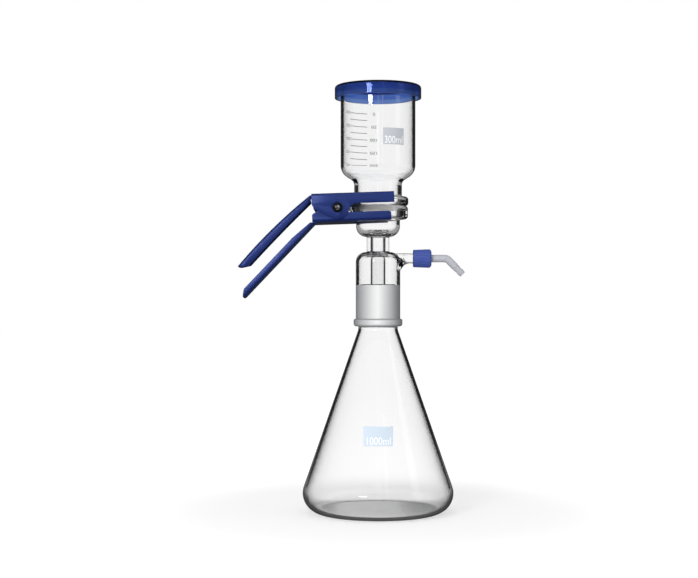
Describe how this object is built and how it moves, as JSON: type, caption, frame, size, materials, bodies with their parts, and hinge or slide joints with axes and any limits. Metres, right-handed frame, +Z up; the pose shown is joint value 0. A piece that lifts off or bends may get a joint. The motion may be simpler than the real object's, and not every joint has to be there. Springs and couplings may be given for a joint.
{
  "type": "vacuum filtration unit",
  "caption": "Glass vacuum filtration unit: conical flask, ground-joint filter base with side arm and sintered disc, graduated funnel with lid, spring clamp and hose connection.",
  "frame": {"origin": "centre of the flask's underside, on the bench", "axes": "+Z up the common axis of flask, filter base and funnel; +X along the vacuum side arm; the clamp's handles point to -X"},
  "size_m": [0.226, 0.1504, 0.4267],
  "materials": {
    "clear_glass": "clear borosilicate, ground at the joint",
    "sintered_glass": "porous white sinter",
    "lid_plastic": "translucent deep blue",
    "anodised_sheet": "blue anodised satin",
    "spring_steel": "drawn wire",
    "black_steel": "blackened",
    "cap_plastic": "moulded polypropylene",
    "nozzle_plastic": "natural polypropylene",
    "seal_rubber": "silicone"
  },
  "bodies": {
    "glassware": {"conical_flask": "clear_glass", "filter_base": "clear_glass", "drip_tube": "clear_glass", "sintered_disc": "sintered_glass", "graduated_funnel": "clear_glass", "funnel_lid": "lid_plastic", "clamp_lower_lever": "anodised_sheet", "clamp_spring": "spring_steel", "pivot_sleeve": "spring_steel", "pivot_screw": "black_steel", "pivot_nut": "black_steel"},
    "upper_lever": {"clamp_upper_lever": "anodised_sheet"},
    "seal": {"nozzle_seal": "seal_rubber"},
    "cap": {"hose_screw_cap": "cap_plastic"},
    "nozzle": {"hose_nozzle": "nozzle_plastic"}
  },
  "joints": [
    {"name": "clamp_open", "type": "hinge", "parent": "glassware", "child": "upper_lever", "pos_m": [-0.0404, 0, 0.303], "axis": [0, -1, 0], "range_deg": [0, 6.5], "stiffness_Nm_per_rad": 0.8, "springref_deg": -28.65, "deforming": ["clamp_spring"]},
    {"name": "seal_slide", "type": "slide", "parent": "glassware", "child": "seal", "axis": [1, 0, 0], "range_m": [0, 0.00505]},
    {"name": "cap_turn", "type": "hinge", "parent": "seal", "child": "cap", "pos_m": [0.0485, 0, 0.25395], "axis": [1, 0, 0], "range_deg": [0, 720]},
    {"name": "nozzle_swivel", "type": "hinge", "parent": "seal", "child": "nozzle", "pos_m": [0.05, 0, 0.25395], "axis": [1, 0, 0], "continuous": true}
  ],
  "couplings": [
    {"joint": "seal_slide", "follows": "cap_turn", "m_per_rad": 0.00039789}
  ]
}
